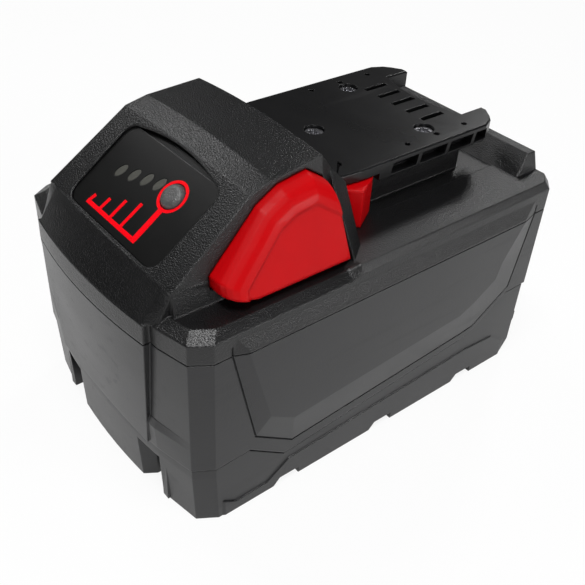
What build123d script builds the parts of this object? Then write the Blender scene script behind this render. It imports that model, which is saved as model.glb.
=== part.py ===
from build123d import *
import math
import os

os.makedirs("parts", exist_ok=True)

# Battery pack of a cordless power tool, in millimetres. The origin lies under the middle
# of the casing, on the surface it stands on. +Z is up, -X is the end with the level gauge,
# +X is the end that enters the tool first, and the pack is alike on both sides of Y = 0.

# Casing sizes
body_length = 137.5
half_length = body_length / 2
wall = 2.5
floor_thickness = 3.0
parting_height = 57.25
parting_gap = 0.35
skirt_gap = 0.8
deck_thickness = 1.8
deck_front_drop = 1.35
head_rise = 25.35
side_room = 6.3
head_crown = 1.3
lip_height = 3.0
lip_thickness = 1.5
slide_fit = 0.25
overrun = 6.0

# Rounded gauge end: a bowed middle panel between two narrow strips, then two facets
nose_proud = 2.6
nose_half_width = 30.3
nose_bow = 1.8
panel_half_width = 27.7
panel_bow = 2.3
panel_base_proud = 0.15
facet_run = 2.4
facet_rise = 9.4
corner_run = 5.3
corner_rise = 3.3
rear_run = 3.8
rear_rise = 3.5

# Tables of outline points, x as a share of half_length, z as a share of parting_height
skirt_shares = [(-0.664, 0.372), (-0.489, 0.213), (0.535, 0.328), (0.610, 0.353), (0.812, 0.512)]
skirt_front_share = 0.353
skirt_rear_share = 0.512
pad_foot_shares = [
    (-0.745, 1.0), (-0.637, 0.447), (-0.454, 0.286), (0.524, 0.376),
    (0.601, 0.388), (0.809, 0.554), (0.830, 0.699), (0.873, 1.0),
]
pad_top_shares = [
    (-0.691, 1.0), (-0.586, 0.557), (-0.470, 0.466), (0.465, 0.550),
    (0.545, 0.594), (0.669, 0.688), (0.691, 0.791), (0.793, 1.0),
]
pad_proud = 1.5
pad_groove = 0.5
pad_tip_rise = 4.4
pad_tip_lean = 1.0
pad_tip_edge = 0.3
pad_tip_groove = 2.7
base_inset = 0.45
base_pad_proud = 0.4
base_pad_bevel = 1.0
base_pad_shares = [
    (-0.790, 0.0), (-0.790, 0.100), (-0.735, 0.055), (-0.580, 0.060), (-0.470, 0.150),
    (0.600, 0.215), (0.790, 0.200), (0.905, 0.105), (0.895, 0.0),
]
tail_cut_run = 7.4
tail_cut_rise = 12.0
base_boss_height = 19.0
base_pull = 0.75
base_pull_top = 17.0
nose_narrow_share = 0.0844

# Cells: round cells of a common standard size, five columns of three layers
cell_radius = 9.2
cell_length = 65.2
cell_groove = 0.5
cell_columns = 5
cell_layers = 3
column_pitch = 19.6
layer_pitch = 18.95
cell_fit = 0.15
holder_rim = 0.9
holder_grip = 14.0
holder_lip = 0.8
window_radius = 6.5
strap_thickness = 0.3
strap_margin = 1.4
insulator_thickness = 0.4
small_gap = 0.1

# Places that follow from the cells
pocket_radius = cell_radius + cell_fit
holder_bottom = floor_thickness
first_layer = holder_bottom + holder_rim + pocket_radius
holder_top = first_layer + (cell_layers - 1) * layer_pitch + pocket_radius + holder_rim
holder_half_length = (cell_columns - 1) / 2 * column_pitch + pocket_radius + holder_rim
holder_face = cell_length / 2 + holder_lip
strap_face = holder_face + strap_thickness
insulator_face = strap_face + small_gap + insulator_thickness
board_thickness = 1.6
board_bottom = holder_top
board_top = board_bottom + board_thickness
tab_gap = 0.3
half_width = insulator_face + side_room + wall
body_width = half_width * 2
deck_bottom = board_top + strap_thickness + tab_gap
deck_front_height = deck_bottom + deck_thickness
deck_height = deck_front_height + deck_front_drop
head_height = deck_height + head_rise

# Top casing: rail tower, slide plate and head
tower_front = -5.15
tower_rear = 47.9
tower_half_width = 20.0
plate_rise = 9.85
plate_thickness = 5.15
plate_bottom = deck_height + plate_rise
plate_top = plate_bottom + plate_thickness
plate_half_width = 25.2
channel_half_width = 25.6
channel_depth = 0.4
channel_front = 12.35
chamfer_head_drop = 3.45
chamfer_rail_drop = 2.35
band_head_height = deck_height - chamfer_head_drop
band_rail_height = deck_height - chamfer_rail_drop
chamfer_head = 2.6
chamfer_rail = 1.2
deck_ramp_front = -14.3
deck_ramp_rear = -10.9
head_station_shares = [
    (-0.873, 0.714, 0.197), (-0.534, 0.670, 0.873), (-0.4415, 0.655, 0.942),
    (-0.203, 0.629, 1.0), (-0.075, 0.567, 0.5915),
]
head_foot_shares = [0.742, 0.758, 0.762, 0.745, 0.580]

head_stations = [(x * half_length, y * half_width, deck_height + z * head_rise)
                 for x, y, z in head_station_shares]
head_feet = [y * half_width for y in head_foot_shares]
slope_low = head_stations[0]
slope_high = head_stations[1]
slope_angle = math.atan2(slope_high[2] - slope_low[2], slope_high[0] - slope_low[0])
slope_normal = (-math.sin(slope_angle), 0, math.cos(slope_angle))


def plan(inset, height, pull=0.0, narrow=0.0):
    """Plan of the casing at one height: sides moved in, gauge end pulled back and narrowed."""
    front = -half_length + nose_proud + inset + pull
    nose = (front + nose_bow, nose_half_width - inset - narrow)
    facet = (front + nose_bow + facet_run, nose_half_width + facet_rise - inset)
    corner = (facet[0] + corner_run, half_width - inset)
    rear = (half_length - rear_run - inset, half_width - inset)
    tail = (half_length - inset, half_width - rear_rise - inset)
    right = [nose, facet, corner, rear, tail]
    left = [(x, -y) for x, y in right]
    with BuildSketch(Plane.XY.offset(height)) as drawn:
        with BuildLine():
            ThreePointArc(left[0], (front, 0), right[0])
            Polyline(*right, *reversed(left))
        make_face()
    return drawn.sketch


def panel_plan(proud, half, height):
    """Plan of the raised middle panel of the gauge end, proud of the casing's own front."""
    front = -half_length + nose_proud - proud
    bow = panel_bow * (1 + proud) / (1 + nose_proud) * half / panel_half_width
    edge = (front + bow, half)
    back = -half_length + nose_proud + nose_bow + wall
    with BuildSketch(Plane.XY.offset(height)) as drawn:
        with BuildLine():
            ThreePointArc((edge[0], -edge[1]), (front, 0), edge)
            Polyline(edge, (back, edge[1]), (back, -edge[1]), (edge[0], -edge[1]))
        make_face()
    return drawn.sketch


def ledge_plan(proud, half, height):
    """Plan of the gauge end below the strips, where panel and facets are one surface."""
    front = -half_length + nose_proud
    bow = nose_bow * half / nose_half_width
    edge = (front - proud + bow, half)
    facet = (front + nose_bow + facet_run, nose_half_width + facet_rise)
    back = (facet[0] + corner_run, nose_half_width)
    with BuildSketch(Plane.XY.offset(height)) as drawn:
        with BuildLine():
            ThreePointArc((edge[0], -edge[1]), (front - proud, 0), edge)
            Polyline(edge, facet, back, (back[0], -back[1]), (facet[0], -facet[1]), (edge[0], -edge[1]))
        make_face()
    return drawn.sketch


def side_face(points, y):
    """Face in an upright plane along the casing at the given y, from x and z points."""
    with BuildSketch(Plane.XZ.offset(-y)) as drawn:
        with BuildLine():
            Polyline(*points, close=True)
        make_face()
    return drawn.sketch


def side_points(shares, lift=0.0):
    """Points of a side outline in millimetres from its table of shares."""
    return [(x * half_length, z * parting_height + lift) for x, z in shares]


def save(builder, name):
    """Label a finished sub-part and write its STEP file."""
    builder.part.label = name
    export_step(builder.part, f"parts/{name}.step")


def skirt_line(lift):
    """Lower edge of the middle casing from front to rear, moved up by lift."""
    front = (-half_length - overrun, skirt_front_share * parting_height + lift)
    rear = (half_length + overrun, skirt_rear_share * parting_height + lift)
    return [front, *side_points(skirt_shares, lift), rear]


def below_skirt(lift):
    """Everything below the skirt line, as one face in the middle plane."""
    low = -overrun
    return side_face([*skirt_line(lift), (half_length + overrun, low), (-half_length - overrun, low)], 0)


def above_skirt(lift):
    """Everything above the skirt line, as one face in the middle plane."""
    high = head_height + overrun
    return side_face([*skirt_line(lift), (half_length + overrun, high), (-half_length - overrun, high)], 0)


# Screw columns that join the three casings, close to the four corners
column_radius = 4.2
column_inset = 6.4
column_y = half_width - column_inset
column_front = -55.5
column_rear = 56.0
column_spots = [(x, y) for x in (column_front, column_rear) for y in (-column_y, column_y)]
column_seat = parting_height + parting_gap / 2
case_screw_radius = 1.5
case_screw_hole = 1.6
case_head_radius = 2.9
case_head_height = 2.4
case_head_seat = 8.0
case_sink_radius = 3.3
case_tip_cover = 1.0
case_screw_tip = deck_bottom - case_tip_cover

# Bottom casing
pocket_inner_y = 14.3
pocket_step_y = 19.4
pocket_outer_y = 26.5
pocket_step_depth = 8.0
pocket_depth = 10.2
pocket_step_x = half_length - pocket_step_depth
pocket_back_x = half_length - pocket_depth
pocket_height = 15.5
pocket_block_height = pocket_height + wall
notch_height = 2.3
notch_depth = 4.0
notch_length = 9.0
notch_pitch = 36.8
notch_center = 4.35
notch_lean = 2.2
label_length = 74.0
label_width = 46.0
label_depth = 0.4
label_center = 4.0

with BuildPart() as bottom_cover:
    base_narrow = nose_narrow_share * (parting_height - base_pull_top)
    base_plan = plan(base_inset, base_pull_top, narrow=base_narrow)
    loft([plan(base_inset, 0, base_pull, base_narrow), base_plan], ruled=True)
    extrude(base_plan, amount=deck_height)
    extrude(above_skirt(-skirt_gap), amount=body_width, both=True, mode=Mode.SUBTRACT)
    extrude(plan(base_inset + wall, floor_thickness), amount=deck_height, mode=Mode.SUBTRACT)
    with BuildPart(mode=Mode.PRIVATE) as lip:
        lip_inset = wall + slide_fit
        extrude(plan(lip_inset, floor_thickness), amount=deck_height)
        extrude(plan(lip_inset + lip_thickness, floor_thickness), amount=deck_height, mode=Mode.SUBTRACT)
        extrude(above_skirt(lip_height), amount=body_width, both=True, mode=Mode.SUBTRACT)
    add(lip.part)
    for side in (-1, 1):
        block_back = pocket_back_x - wall
        with BuildSketch(Plane.XY) as block:
            with BuildLine():
                Polyline(
                    (-pocket_step_x - wall, side * (pocket_inner_y - wall)),
                    (-block_back, side * (pocket_inner_y - wall)),
                    (-block_back, side * (pocket_outer_y + wall)),
                    (-pocket_step_x - wall, side * (pocket_outer_y + wall)),
                    close=True,
                )
            make_face()
        extrude(amount=pocket_block_height)
        with BuildSketch(Plane.XY.offset(-overrun)) as pocket:
            with BuildLine():
                Polyline(
                    (-half_length, side * pocket_inner_y),
                    (-pocket_step_x, side * pocket_step_y),
                    (-pocket_back_x, side * pocket_step_y),
                    (-pocket_back_x, side * pocket_outer_y),
                    (-half_length, side * pocket_outer_y),
                    close=True,
                )
            make_face()
        extrude(amount=overrun + pocket_height, mode=Mode.SUBTRACT)
    base_side = half_width - base_inset
    base_pad_foot = side_points(base_pad_shares)
    base_pad_top = [(x * (1 - base_pad_bevel / half_length), z * (1 - base_pad_bevel / half_width))
                    for x, z in base_pad_foot]
    for side in (-1, 1):
        loft([side_face(base_pad_foot, side * base_side),
              side_face(base_pad_top, side * (base_side + base_pad_proud))], ruled=True)
    with BuildSketch(Plane.XZ) as tail_cut:
        with BuildLine():
            Polyline(
                (half_length - tail_cut_run, 0),
                (half_length + overrun, tail_cut_rise * (1 + overrun / tail_cut_run)),
                (half_length + overrun, -overrun),
                (half_length - tail_cut_run, -overrun),
                close=True,
            )
        make_face()
    extrude(amount=body_width, both=True, mode=Mode.SUBTRACT)
    tail_inner = [
        (half_length - tail_cut_run - wall - floor_thickness, floor_thickness),
        (half_length - tail_cut_run - wall - floor_thickness, 0),
        (half_length - tail_cut_run, 0),
        (half_length - base_inset - wall / 2, tail_cut_rise),
        (half_length - base_inset - wall / 2, tail_cut_rise + floor_thickness),
        (half_length - base_inset - wall - lip_thickness, tail_cut_rise + floor_thickness),
    ]
    extrude(side_face(tail_inner, 0), amount=half_width - base_inset - wall / 2, both=True)
    for spot in (-1, 0, 1):
        start = notch_center + spot * notch_pitch - notch_length / 2
        notch_points = [
            (start, -overrun), (start, 0), (start + notch_lean, notch_height),
            (start + notch_length, notch_height), (start + notch_length, -overrun),
        ]
        for side in (-1, 1):
            extrude(side_face(notch_points, side * half_width), amount=notch_depth, both=True,
                    mode=Mode.SUBTRACT)
    with Locations(*[(x, y, 0) for x, y in column_spots]):
        Cylinder(column_radius, base_boss_height, align=(Align.CENTER, Align.CENTER, Align.MIN))
        Cylinder(case_screw_hole, base_boss_height + overrun,
                 align=(Align.CENTER, Align.CENTER, Align.MIN), mode=Mode.SUBTRACT)
        Cylinder(case_sink_radius, case_head_seat,
                 align=(Align.CENTER, Align.CENTER, Align.MIN), mode=Mode.SUBTRACT)
    with Locations(*[(x, y, base_boss_height) for x, y in column_spots]):
        Cylinder(column_radius + slide_fit, deck_height, mode=Mode.SUBTRACT,
                 align=(Align.CENTER, Align.CENTER, Align.MIN))
    with Locations((label_center, 0, 0)):
        Box(label_length, label_width, label_depth * 2, mode=Mode.SUBTRACT)
save(bottom_cover, "bottom_cover")

# Middle casing with the raised side pads and the panel of the gauge end
strip_foot_height = 31.0
strip_ledge_height = 28.5
panel_foot_height = 20.4
panel_low_half = 24.1
ledge_half = 27.6
ledge_proud = 0.7
end_rib_y = 13.0
end_rib_thickness = 2.0
end_rib_bottom = 24.0
end_rib_rear_bottom = 33.0
end_rib_top = 53.5
side_rib_thickness = 1.6
side_rib_bottom = 24.5
pad_foot = side_points(pad_foot_shares)
pad_top = side_points(pad_top_shares)
foam_thickness = 3.0
foam_face = holder_half_length + small_gap + foam_thickness
end_ribs = [
    (-1, end_rib_bottom, -half_length + nose_proud + wall / 2),
    (1, end_rib_rear_bottom, half_length - wall / 2),
]

with BuildPart() as mid_shell:
    shell_narrow = nose_narrow_share * parting_height
    loft([plan(0, 0, narrow=shell_narrow), plan(0, parting_height)], ruled=True)
    loft([panel_plan(panel_base_proud, panel_low_half, panel_foot_height),
          panel_plan(nose_proud, panel_half_width, parting_height)], ruled=True)
    loft([ledge_plan(panel_base_proud, ledge_half, panel_foot_height),
          ledge_plan(ledge_proud, ledge_half, strip_ledge_height)], ruled=True)
    loft([ledge_plan(ledge_proud, ledge_half, strip_ledge_height),
          ledge_plan(0, ledge_half, strip_foot_height)], ruled=True)
    extrude(plan(wall, 0), amount=parting_height, mode=Mode.SUBTRACT)
    for side in (-1, 1):
        with BuildPart(mode=Mode.PRIVATE) as groove:
            with BuildSketch(Plane.XZ.offset(-side * half_width)):
                with BuildLine():
                    Polyline(*pad_foot, close=True)
                make_face()
                offset(amount=pad_groove, kind=Kind.INTERSECTION)
            extrude(amount=pad_groove, both=True)
        add(groove.part, mode=Mode.SUBTRACT)
        extrude(side_face(pad_foot, side * (half_width - pad_groove)), amount=-side * pad_groove)
        loft([side_face(pad_foot, side * half_width),
              side_face(pad_top, side * (half_width + pad_proud))], ruled=True)
    extrude(below_skirt(0), amount=body_width, both=True, mode=Mode.SUBTRACT)
    for x, y in column_spots:
        with BuildSketch(Plane.XY.offset(base_boss_height)):
            with Locations((x, y)):
                Circle(column_radius)
        extrude(amount=column_seat - base_boss_height)
    for x, y in column_spots:
        with BuildSketch(Plane.XY.offset(base_boss_height)):
            with Locations((x, y)):
                Circle(case_screw_hole)
        extrude(amount=column_seat, mode=Mode.SUBTRACT)
    for end, rib_bottom, skin in end_ribs:
        rib_front = end * (foam_face + small_gap)
        for side in (-1, 1):
            with BuildSketch(Plane.XY.offset(rib_bottom)):
                with BuildLine():
                    Polyline(
                        (skin, side * end_rib_y), (rib_front, side * end_rib_y),
                        (rib_front, side * (end_rib_y + end_rib_thickness)),
                        (skin, side * (end_rib_y + end_rib_thickness)), close=True,
                    )
                make_face()
            extrude(amount=end_rib_top - rib_bottom)
    for column in range(cell_columns):
        x = (column - (cell_columns - 1) / 2) * column_pitch
        for side in (-1, 1):
            reach = half_width - wall / 2 - insulator_face - small_gap
            with BuildSketch(Plane.XY.offset(side_rib_bottom)):
                with Locations((x, side * (insulator_face + small_gap + reach / 2))):
                    Rectangle(side_rib_thickness, reach)
            extrude(amount=end_rib_top - side_rib_bottom)
save(mid_shell, "mid_shell")

# Head of the top casing, drawn as cross-sections from the gauge end to the rail
band_bottom = parting_height + parting_gap
lip_inset = wall + slide_fit
lip_root = band_bottom + wall
head_crown_shares = [0.3, 0.6, 1.0, 1.0, 0.2]
head_inner_drops = [3.1, 3.1, 2.9, 2.6, 2.6]
head_inner_run = 3.4
nose_low_half = 26.6
nose_low_edge = 2.5 - half_length
nose_low_front = 0.4 - half_length
nose_low_side = (5.1 - half_length, 29.9)
nose_high_half = 27.2
nose_high_front = 8.35 - half_length
nose_high_side = (8.95 - half_length, 30.7)
nose_back = (23.75 - half_length, 31.8)


def cross_face(x, half_roof, roof, crown, half_foot, foot):
    """Cross-section of the head: a foot, two leaning sides and a crowned roof."""
    with BuildSketch(Plane.YZ.offset(x)) as drawn:
        with BuildLine():
            Polyline((half_roof, roof), (half_foot, foot), (-half_foot, foot), (-half_roof, roof))
            ThreePointArc((-half_roof, roof), (0, roof + crown), (half_roof, roof))
        make_face()
    return drawn.sketch


def deck_face(x, shoulder, inset, top):
    """Cross-section of the deck with its two chamfered shoulders."""
    with BuildSketch(Plane.YZ.offset(x)) as drawn:
        with BuildLine():
            Polyline(
                (-half_width, band_bottom), (-half_width, shoulder), (-half_width + inset, top),
                (half_width - inset, top), (half_width, shoulder), (half_width, band_bottom), close=True,
            )
        make_face()
    return drawn.sketch


def nose_face(front, edge, side, back, inset, height):
    """Plan of the front slope of the head at one height."""
    with BuildSketch(Plane.XY.offset(height)) as drawn:
        right = [
            (edge[0] + inset, edge[1] - inset), (side[0] + inset, side[1] - inset),
            (back[0] + inset, back[1] - inset),
        ]
        left = [(x, -y) for x, y in right]
        with BuildLine():
            ThreePointArc(left[0], (front + inset, 0), right[0])
            Polyline(*right, *reversed(left))
        make_face()
    return drawn.sketch


def head_sections(inset, foot, front_shift):
    """Cross-sections of the head, or of its hollow when they are inset."""
    sections = []
    rows = zip(head_stations, head_feet, head_crown_shares, head_inner_drops)
    for index, ((x, half_roof, roof), half_foot, crown_share, drop) in enumerate(rows):
        lowered = drop if inset else 0
        shift = front_shift if index == 0 else 0
        rise = shift * math.tan(slope_angle)
        sections.append(cross_face(x + shift, half_roof - inset, roof + rise - lowered,
                                   crown_share * head_crown, half_foot - inset, foot))
    return sections


def nose_sections(inset, low, drop):
    """The two plans between which the front slope of the head is ruled."""
    low_face = nose_face(nose_low_front, (nose_low_edge, nose_low_half), nose_low_side,
                         nose_back, inset, low)
    high_face = nose_face(nose_high_front, (slope_low[0], nose_high_half), nose_high_side,
                          nose_back, inset, slope_low[2] - drop)
    return [low_face, high_face]


# Sloped plane of the level gauge: local x points to -Y, local y points up the slope
gauge_plane = Plane(origin=(slope_low[0], 0, slope_low[2]), x_dir=(0, -1, 0), z_dir=slope_normal)
gauge_center = 13.5
gauge_width = 43.0
gauge_height = 26.0
gauge_corner = 4.0
gauge_recess = 1.6
gauge_panel_thickness = 1.2
gauge_fit = 0.15
gauge_brow_half = 18.5
gauge_brow_rise = 2.2
gauge_lip_thickness = 0.5
gauge_hole_width = 36.0
gauge_hole_height = 20.0
gauge_hole_corner = 3.0
gauge_board_depth = 5.2
gauge_board_thickness = 1.2
gauge_board_width = 34.0
gauge_board_height = 24.0
gauge_post_x = 14.0
gauge_post_y = 11.6
gauge_post_radius = 1.2
gauge_top = gauge_center + gauge_height / 2
gauge_posts = [(x * gauge_post_x, gauge_center + y * gauge_post_y) for x in (-1, 1) for y in (-1, 1)]



def brow(fit):
    """Crescent above the gauge panel, drawn flat."""
    half = gauge_brow_half - fit
    low = gauge_top - gauge_fit * 2
    with BuildSketch() as drawn:
        with BuildLine():
            ThreePointArc((-half, low), (0, gauge_top + gauge_brow_rise - fit), (half, low))
            Line((half, low), (-half, low))
        make_face()
    return drawn.sketch


# Squeeze button of the latch: points as shares of half_length and of the head's rise above the deck
latch_shares = [
    (-0.720, 0.106), (-0.7215, 0.235), (-0.515, 0.759), (-0.416, 0.878), (-0.281, 0.913),
    (-0.209, 0.783), (-0.176, 0.0215), (-0.600, 0.0215),
]
latch_rim_sides = [0, 1, 2, 3, 4]
latch_points = [(x * half_length, deck_height + z * head_rise) for x, z in latch_shares]
latch_fit = 0.4
latch_travel = 4.0
latch_top_inset = 9.8
latch_foot_inset = 3.4
latch_top_drop = 3.1
latch_foot_rise = 0.25
latch_inner_inset = 17.4
latch_top_y = half_width - latch_top_inset
latch_foot_y = half_width - latch_foot_inset
latch_top_z = head_height - latch_top_drop
latch_foot_z = deck_height + latch_foot_rise
latch_inner_y = half_width - latch_inner_inset
latch_round = 4.8
latch_round_steps = 5
recess_step = 0.4
recess_slope = 1.0
recess_depth = 0.6
recess_reach = 3.0
latch_lean = math.atan2(latch_foot_y - latch_top_y, latch_top_z - latch_foot_z)
arm_inner_y = 20.2
arm_outer_y = 24.2
arm_front = -18.0
arm_rear = 7.35
arm_clearance = 0.75
arm_height = 10.5
arm_bottom = deck_height + arm_clearance
arm_top = arm_bottom + arm_height
arm_root_rear = -13.4
arm_root_overlap = 1.0
hook_ridge_x = -0.15
hook_ridge_y = 29.3
hook_front = -3.65
hook_front_y = 26.0
hook_rear_y = 24.6
hook_clearance = 0.35
hook_height = 11.2
hook_bottom = deck_height + hook_clearance
hook_top = hook_bottom + hook_height
spring_x = -30.0
spring_rise = 10.75
spring_z = deck_height + spring_rise
spring_radius = 3.2
spring_wire = 0.8
spring_wall_y = 10.0
spring_wall_thickness = 2.0
spring_wall_length = 8.0
spring_wall_drop = 5.0
spring_wall_bottom = spring_z - spring_wall_drop
spring_seat_inset = 14.0
spring_seat_y = half_width - spring_seat_inset

# Rib between the button and the catch
rib_foot = [(-11.65, 23.4), (-11.65, 41.0), (-5.35, 36.0), (-5.15, 23.4)]
rib_head = [(-10.5, 23.4), (-10.05, 25.95), (-5.15, 24.95), (-5.15, 23.4)]
rib_height = 19.25
rib_top = deck_height + rib_height
rib_root = 1.5
window_inner_y = 15.5
window_outer_y = 24.4
window_rear = 9.2
window_top = hook_top + latch_fit

# Screws, slots and windows of the rail
plate_screw_spots = [(6.85, 0.0), (34.35, 16.5), (34.35, -16.5)]
plate_boss_radii = [3.2, 2.4, 2.4]
plate_pilot_radius = 1.25
plate_screw_radius = 1.2
plate_screw_hole = 1.5
plate_head_radius = 2.7
plate_head_height = 1.7
plate_sink_radius = 3.0
plate_sink_depth = 2.5
plate_screw_length = 9.0
slot_pitch = 6.1
slot_width = 1.8
slot_front = 37.75
slot_rear = 46.55
slot_rise = 1.75
slot_bottom = deck_height + slot_rise
slot_bridge = 1.5
slot_spots = [(index - 2) * slot_pitch for index in range(5)]
bay_front = 24.0
bay_half_width = 14.2
tower_wall = 2.5
hump_foot_front = 57.0
hump_foot_rear = 67.55
hump_foot_half = 35.6
hump_top_front = 64.0
hump_top_rear = 67.2
hump_top_half = 33.5
hump_rise = 5.55
hump_top = deck_height + hump_rise
tower_rear_wall = tower_rear - tower_wall
tower_inner_half = tower_half_width - tower_wall

with BuildPart() as top_cover:
    extrude(plan(lip_inset, parting_height - lip_height), amount=lip_height + parting_gap + slide_fit)
    extrude(plan(0, band_bottom), amount=band_head_height - band_bottom)
    loft([plan(0, band_head_height), plan(chamfer_head, deck_front_height)], ruled=True)
    with BuildPart(mode=Mode.PRIVATE) as rail_deck:
        extrude(plan(0, band_bottom), amount=band_rail_height - band_bottom)
        loft([plan(0, band_rail_height), plan(chamfer_rail, deck_height)], ruled=True)
        with BuildSketch(Plane.XY):
            with BuildLine():
                Polyline((-body_length, -body_width), (deck_ramp_rear, -body_width),
                         (deck_ramp_rear, body_width), (-body_length, body_width), close=True)
            make_face()
        extrude(amount=head_height, mode=Mode.SUBTRACT)
    add(rail_deck.part)
    loft([deck_face(deck_ramp_front, band_head_height, chamfer_head, deck_front_height),
          deck_face(deck_ramp_rear, band_rail_height, chamfer_rail, deck_height)], ruled=True)
    loft([panel_plan(nose_proud, panel_half_width, band_bottom),
          panel_plan(-nose_low_front - half_length + nose_proud, panel_half_width, band_head_height)],
         ruled=True)
    with BuildPart(mode=Mode.PRIVATE) as channel:
        with BuildSketch(Plane.XY.offset(deck_height - channel_depth)):
            with BuildLine():
                Polyline((channel_front, -channel_half_width), (body_length, -channel_half_width),
                         (body_length, channel_half_width), (channel_front, channel_half_width), close=True)
            make_face()
        extrude(amount=overrun)
    add(channel.part, mode=Mode.SUBTRACT)
    loft(nose_sections(0, band_head_height, 0), ruled=True)
    loft(head_sections(0, deck_height - rib_root, 0), ruled=True)
    with BuildSketch(Plane.XY.offset(deck_height - rib_root)):
        with BuildLine():
            Polyline((tower_front, -tower_half_width), (tower_rear, -tower_half_width),
                     (tower_rear, tower_half_width), (tower_front, tower_half_width), close=True)
        make_face()
    extrude(amount=plate_bottom - deck_height + rib_root)
    with BuildSketch(Plane.XY.offset(deck_height - rib_root)) as hump_foot:
        with BuildLine():
            Polyline((hump_foot_front, -hump_foot_half), (hump_foot_rear, -hump_foot_half),
                     (hump_foot_rear, hump_foot_half), (hump_foot_front, hump_foot_half), close=True)
        make_face()
    with BuildSketch(Plane.XY.offset(hump_top)) as hump_crest:
        with BuildLine():
            Polyline((hump_top_front, -hump_top_half), (hump_top_rear, -hump_top_half),
                     (hump_top_rear, hump_top_half), (hump_top_front, hump_top_half), close=True)
        make_face()
    loft(ruled=True)
    for side in (-1, 1):
        with BuildSketch(Plane.XY.offset(deck_height - rib_root)) as foot:
            with BuildLine():
                Polyline(*[(x, side * y) for x, y in rib_foot], close=True)
            make_face()
        with BuildSketch(Plane.XY.offset(rib_top)) as crest:
            with BuildLine():
                Polyline(*[(x, side * y) for x, y in rib_head], close=True)
            make_face()
        loft(ruled=True)
    roof_run = [head_stations[-2], head_stations[-1]]
    roof_over = [(x, z) for x, y, z in roof_run] + [(tower_front, head_height + overrun)]
    extrude(side_face(roof_over, rib_foot[0][1]), amount=-half_width, mode=Mode.SUBTRACT)
    extrude(side_face(roof_over, -rib_foot[0][1]), amount=half_width, mode=Mode.SUBTRACT)
    tip_foot = [
        (pad_foot[0][0], band_bottom), (pad_foot[0][0] + pad_tip_lean, band_bottom + pad_tip_rise),
        (pad_foot[-1][0] - pad_tip_lean, band_bottom + pad_tip_rise), (pad_foot[-1][0], band_bottom),
    ]
    tip_edge = [
        (pad_top[0][0], band_bottom), (pad_top[0][0] + pad_tip_edge, band_bottom + pad_tip_edge),
        (pad_top[-1][0] - pad_tip_edge, band_bottom + pad_tip_edge), (pad_top[-1][0], band_bottom),
    ]
    for side in (-1, 1):
        loft([side_face(tip_foot, side * half_width),
              side_face(tip_edge, side * (half_width + pad_proud))], ruled=True)
        for x, lean in ((pad_foot[0][0], -pad_groove), (pad_foot[-1][0], pad_groove)):
            groove_face = [
                (x, band_bottom), (x + lean, band_bottom),
                (x + lean, band_bottom + pad_tip_groove), (x, band_bottom + pad_tip_groove),
            ]
            extrude(side_face(groove_face, side * half_width), amount=side * pad_groove,
                    mode=Mode.SUBTRACT)
    extrude(plan(lip_inset + lip_thickness, 0), amount=lip_root, mode=Mode.SUBTRACT)
    extrude(plan(wall, lip_root), amount=deck_bottom - lip_root, mode=Mode.SUBTRACT)
    loft(nose_sections(head_inner_run, band_head_height, head_inner_drops[0] - wall), ruled=True,
         mode=Mode.SUBTRACT)
    loft(head_sections(wall, deck_bottom - slide_fit, head_inner_run), ruled=True, mode=Mode.SUBTRACT)
    with BuildSketch(Plane.XY.offset(deck_height)):
        with BuildLine():
            Polyline((arm_front, -tower_inner_half), (tower_rear_wall, -tower_inner_half),
                     (tower_rear_wall, tower_inner_half), (arm_front, tower_inner_half), close=True)
        make_face()
    extrude(amount=plate_bottom - deck_height, mode=Mode.SUBTRACT)
    with BuildSketch(Plane.XY.offset(deck_bottom - slide_fit)):
        with BuildLine():
            Polyline((bay_front, -bay_half_width), (tower_rear_wall, -bay_half_width),
                     (tower_rear_wall, bay_half_width), (bay_front, bay_half_width), close=True)
        make_face()
    extrude(amount=deck_height - deck_bottom + slide_fit * 2, mode=Mode.SUBTRACT)
    for side in (-1, 1):
        with BuildSketch(Plane.XZ.offset(-side * window_inner_y)):
            with BuildLine():
                Polyline(*latch_points, close=True)
            make_face()
            offset(amount=latch_fit, kind=Kind.INTERSECTION)
        extrude(amount=-side * half_width, mode=Mode.SUBTRACT)
        window_points = [
            (arm_front, deck_height + slide_fit), (window_rear, deck_height + slide_fit),
            (window_rear, window_top), (arm_front, window_top),
        ]
        extrude(side_face(window_points, side * window_inner_y),
                amount=-side * (window_outer_y - window_inner_y), mode=Mode.SUBTRACT)
        wall_points = [
            (spring_x - spring_wall_length / 2, spring_wall_bottom),
            (spring_x + spring_wall_length / 2, spring_wall_bottom),
            (spring_x + spring_wall_length / 2, slope_high[2] + wall / 2),
            (spring_x - spring_wall_length / 2, slope_high[2]),
        ]
        extrude(side_face(wall_points, side * spring_wall_y), amount=side * spring_wall_thickness)
    with BuildSketch(gauge_plane.offset(-gauge_recess)):
        with Locations((0, gauge_center)):
            RectangleRounded(gauge_width, gauge_height, gauge_corner)
    extrude(amount=overrun, mode=Mode.SUBTRACT)
    with BuildSketch(gauge_plane.offset(-gauge_recess)):
        add(brow(0))
    extrude(amount=overrun, mode=Mode.SUBTRACT)
    with BuildSketch(gauge_plane.offset(-gauge_recess)):
        with Locations((0, gauge_center)):
            RectangleRounded(gauge_hole_width, gauge_hole_height, gauge_hole_corner)
    extrude(amount=-overrun, mode=Mode.SUBTRACT)
    with BuildSketch(gauge_plane.offset(-gauge_board_depth)):
        with Locations(*gauge_posts):
            Circle(gauge_post_radius)
    extrude(amount=gauge_board_depth - gauge_recess)
    for x, y in column_spots:
        with BuildSketch(Plane.XY.offset(column_seat)):
            with Locations((x, y)):
                Circle(column_radius)
        extrude(amount=deck_bottom + slide_fit - column_seat)
        with BuildPart(mode=Mode.PRIVATE) as bore:
            with BuildSketch(Plane.XY):
                with Locations((x, y)):
                    Circle(column_radius + slide_fit)
            extrude(amount=column_seat)
            with BuildSketch(Plane.XY):
                with Locations((x, y)):
                    Circle(case_screw_hole)
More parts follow.
